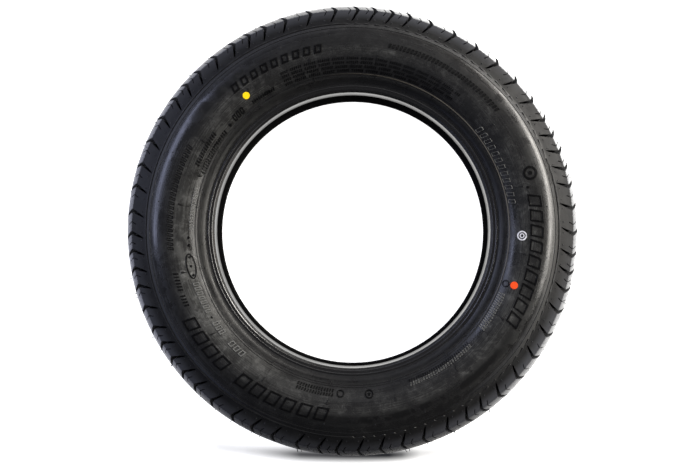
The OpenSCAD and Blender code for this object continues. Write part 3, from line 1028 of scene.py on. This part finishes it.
class TYRE_OT_marks(bpy.types.Operator):
    """Raises plain slabs, dashes, rings and studs on the marked sidewall"""

    bl_idname = "tyre.marks"
    bl_label = "Moulded marks"

    def execute(self, context):
        look = context.scene.tyre_look
        sizes = context.scene.tyre_marks
        plain, rubbed_and_highlight, dashes = [], [], []
        for first, last, number, inner, outer, share, line, pale in MARK_ROWS:
            middle = (inner + outer) / 2 * MM
            pitch = math.radians((last - first) / number) * middle
            tall = (outer - inner) * MM
            slab = flat_slab(pitch * share, tall, line * MM, cuts=2 if tall > TALL_SLAB else 1)
            places = row_places(first, last, number, middle, sizes.slant)
            (rubbed_and_highlight if pale else plain).append(spread(slab, places, "row"))
        for angle, radius, wide, tall, line in RINGS:
            ring = flat_ring(wide * MM, tall * MM, line * MM)
            plain.append(spread(ring, [flat_place(radius * MM, angle)], "ring"))
        for angle, radius, wide in STUDS:
            bpy.ops.mesh.primitive_circle_add(
                vertices=10, radius=wide * MM / 2, fill_type="NGON", location=(0, 0, 0)
            )
            plain.append(spread(context.object, [flat_place(radius * MM, angle)], "stud"))
        for first, last, number, inner, outer in DASH_ROWS:
            middle = (inner + outer) / 2 * MM
            pitch = math.radians((last - first) / number) * middle
            dash = flat_slab(pitch * DASH_SHARE, (outer - inner) * MM)
            places = row_places(first, last, number, middle, sizes.slant)
            # gaps, as between words
            del places[4::7]
            dashes.append(spread(dash, places, "dashes"))
        # the pale rows are rubbed pale, partly as a painted highlight
        for pieces, name, height, bevel, pale, shine in (
            (plain, "plain_marks", sizes.slab_height, MARK_BEVEL, 0.0, 0.15),
            (rubbed_and_highlight, "rubbed_and_highlit_marks", sizes.slab_height, MARK_BEVEL, RUBBED_AND_HIGHLIGHT_SHARE, 0.15),
            (dashes, "small_print", sizes.dash_height, 0.0, 0.0, 0.2),
        ):
            piece = raise_on_sidewall(join(pieces, name), height, bevel)
            finish_piece(piece, sidewall_rubber(look, 0.05, pale, look.mark_hex, shine))
        return {"FINISHED"}


class TYRE_OT_vents(bpy.types.Operator):
    """Raises the vent lines, with the wedges at their ends, and the pips of the sidewall"""

    bl_idname = "tyre.vents"
    bl_label = "Vent lines and pips"

    def execute(self, context):
        look = context.scene.tyre_look
        sizes = context.scene.tyre_marks
        inner, outer = (end * MM for end in VENT_ENDS)
        turns = [FIRST_VENT_DEG + 360 * i / VENT_LINES for i in range(VENT_LINES)]
        line = flat_slab(VENT_WIDTH, outer - inner, cuts=3)
        lines = spread(line, [flat_place((inner + outer) / 2, t) for t in turns], "vent_lines")
        wedges = []
        for at, way in ((outer - WEDGE_INSETS[0], 1), (inner + WEDGE_INSETS[1], -1)):
            wedge = flat_slab(*WEDGE_SIZE, cuts=1)
            # the end towards the middle of the line narrows to a tenth of the width
            for vertex in wedge.data.vertices:
                vertex.co.x *= 0.55 + way * vertex.co.y / 0.0069
            places = [flat_place(at, t + WEDGE_TURN_DEG, WEDGE_SLANT) for t in turns]
            wedges.append(spread(wedge, places, "wedges"))
        finish_piece(raise_on_sidewall(lines, VENT_HEIGHT), sidewall_rubber(look, 0.4))
        wedges = raise_on_sidewall(join(wedges, "vent_wedges"), WEDGE_HEIGHT, WEDGE_BEVEL)
        finish_piece(wedges, sidewall_rubber(look, 0.0))

        places = [
            stand_on(SIDE_PIP_R * MM, photo_angle(FIRST_PIP_DEG + 360 * i / SIDE_PIPS))
            for i in range(SIDE_PIPS)
        ]
        for side in (MARKED_SIDE, FAR_SIDE):
            for tip, turn in pitches():
                if side == FAR_SIDE:
                    tip -= turn * FAR_SIDE_SHARE
                places += [
                    stand_on(SHOULDER_PIP_R * MM, tip - side * turn * part, side)
                    for part in SHOULDER_PIP_PARTS
                ]
        deselect()
        bpy.ops.mesh.primitive_cylinder_add(
            vertices=8, radius=sizes.pip_diameter / 2, depth=PIP_LENGTH, location=(0, 0, PIP_RISE)
        )
        pip = settle(context.object)
        modify(pip, "BEVEL", width=PIP_BEVEL, segments=1)
        finish_piece(smooth(spread(pip, places, "pips"), 60), tread_rubber(look))
        return {"FINISHED"}


class TYRE_OT_bead(bpy.types.Operator):
    """Lays the fine ribs round the heel of each bead"""

    bl_idname = "tyre.bead"
    bl_label = "Bead ribs"

    def execute(self, context):
        look = context.scene.tyre_look
        ribs = []
        for side in (MARKED_SIDE, FAR_SIDE):
            for radius, half, sides, tall in BEAD_RIBS:
                point, _ = on_casing((radius - half) * MM, 0.0, side)
                deselect()
                bpy.ops.mesh.primitive_torus_add(
                    major_radius=radius * MM, minor_radius=half * MM, major_segments=180,
                    minor_segments=sides, location=(0, 0, point.z),
                )
                context.object.scale.z = tall
                ribs.append(settle(context.object))
        ribs = join(ribs, "bead_ribs")
        edit(ribs)
        # real ribs are a little uneven, which breaks up the bright line that they draw
        bpy.ops.transform.vertex_random(offset=0.00002, seed=3)
        finish_piece(smooth(ribs, 45), sidewall_rubber(look, 0.3, shine=1.0))
        return {"FINISHED"}


class TYRE_OT_hairs(bpy.types.Operator):
    """Stands the thin rubber hairs of the mould's vents on the tread"""

    bl_idname = "tyre.hairs"
    bl_label = "Hairs"

    def execute(self, context):
        look = context.scene.tyre_look
        sizes = context.scene.tyre_marks
        order = random.Random(sizes.seed)
        patterns = []
        for length, bend in HAIRS:
            deselect()
            bpy.ops.mesh.primitive_cylinder_add(
                vertices=6, radius=sizes.hair_diameter / 2, depth=length,
                location=(0, 0, length / 2 - HAIR_ROOT),
            )
            hair = settle(context.object)
            edit(hair)
            for part in (0.25, 0.55):
                bpy.ops.mesh.select_all(action="SELECT")
                bpy.ops.mesh.bisect(plane_co=(0, 0, length * part), plane_no=(0, 0, 1))
            modify(
                hair, "SIMPLE_DEFORM", deform_method="BEND", deform_axis="X",
                angle=math.radians(bend),
            )
            patterns.append(hair)
        sets = [[] for _ in patterns]
        casing = bpy.data.objects["casing"]
        for tip, turn in pitches():
            for z in HAIR_ROWS:
                if order.random() < BARE_SHARE:
                    continue
                angle = tip - turn * order.choice(HAIR_PARTS)
                if min(abs(math.sin(angle)), abs(math.cos(angle))) < AXIS_SINE:
                    continue
                out = Vector((math.cos(angle), math.sin(angle), 0))
                start = out * RAY_START_R + Vector((0, 0, z))
                hit, point, normal, _ = casing.ray_cast(start, -out)
                if not hit or (point.xy.length < GROOVE_R and abs(z) < GROOVED_HALF_WIDTH):
                    continue
                lean, other = (
                    Matrix.Rotation(order.uniform(-HAIR_LEAN, HAIR_LEAN), 4, axis) for axis in "XY"
                )
                upright = normal.to_track_quat("Z", "Y").to_matrix().to_4x4()
                place = Matrix.Translation(point) @ upright @ (lean @ other)
                order.choice(sets).append(place)
        hairs = [spread(hair, places, "hair") for hair, places in zip(patterns, sets)]
        hairs = smooth(join(hairs, "vent_hairs"), 60)
        finish_piece(hairs, sidewall_rubber(look, 0.0, 0.0, look.mark_hex, 0.15))
        return {"FINISHED"}


class TYRE_OT_paint(bpy.types.Operator):
    """Gives the balance dots and the stamp their paint"""

    bl_idname = "tyre.paint"
    bl_label = "Paint marks"

    def execute(self, context):
        look = context.scene.tyre_look
        for node, name, code, worn in (
            ("yellow_dot", "yellow marking paint", look.yellow_hex, 0.06),
            ("red_dot", "red marking paint", look.red_hex, 0.1),
            ("white_stamp", "white stamping ink", look.white_hex, 0.5),
        ):
            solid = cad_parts[node]
            solid.data.materials.clear()
            solid.data.materials.append(marking_paint(name, code, worn))
        ink = bpy.data.materials["white stamping ink"]
        core = flat_ring(CORE_WIDTH, CORE_WIDTH, CORE_LINE)
        low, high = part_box("white_stamp")
        core.data.transform(Matrix.Translation(
            ((low[0] + high[0]) / 2, (low[1] + high[1]) / 2, LAYOUT_Z)
        ))
        core.name = "stamp_core"
        finish_piece(raise_on_sidewall(core, CORE_HEIGHT), ink, slot="white_paint")
        return {"FINISHED"}


class TYRE_PT_panel(bpy.types.Panel):
    """Lists the steps that dress the tyre"""

    bl_idname = "TYRE_PT_panel"
    bl_label = "Tyre"
    bl_space_type = "VIEW_3D"
    bl_region_type = "UI"
    bl_category = "Tyre"

    def draw(self, context):
        for operator in OPERATORS:
            self.layout.operator(operator.bl_idname)


OPERATORS = (
    TYRE_OT_stage, TYRE_OT_casing, TYRE_OT_marks, TYRE_OT_vents, TYRE_OT_bead, TYRE_OT_hairs,
    TYRE_OT_paint,
)
CLASSES = (TyreLook, TyreMarks, TyreStage, *OPERATORS, TYRE_PT_panel)


def register():
    for one in CLASSES:
        bpy.utils.register_class(one)
    bpy.types.Scene.tyre_look = bpy.props.PointerProperty(type=TyreLook)
    bpy.types.Scene.tyre_marks = bpy.props.PointerProperty(type=TyreMarks)
    bpy.types.Scene.tyre_stage = bpy.props.PointerProperty(type=TyreStage)


def unregister():
    del bpy.types.Scene.tyre_stage
    del bpy.types.Scene.tyre_marks
    del bpy.types.Scene.tyre_look
    for one in reversed(CLASSES):
        bpy.utils.unregister_class(one)


def main():
    register()
    bpy.ops.tyre.stage()
    bpy.ops.tyre.casing()
    bpy.ops.tyre.marks()
    bpy.ops.tyre.vents()
    bpy.ops.tyre.bead()
    bpy.ops.tyre.hairs()
    bpy.ops.tyre.paint()


if __name__ == "__main__":
    main()
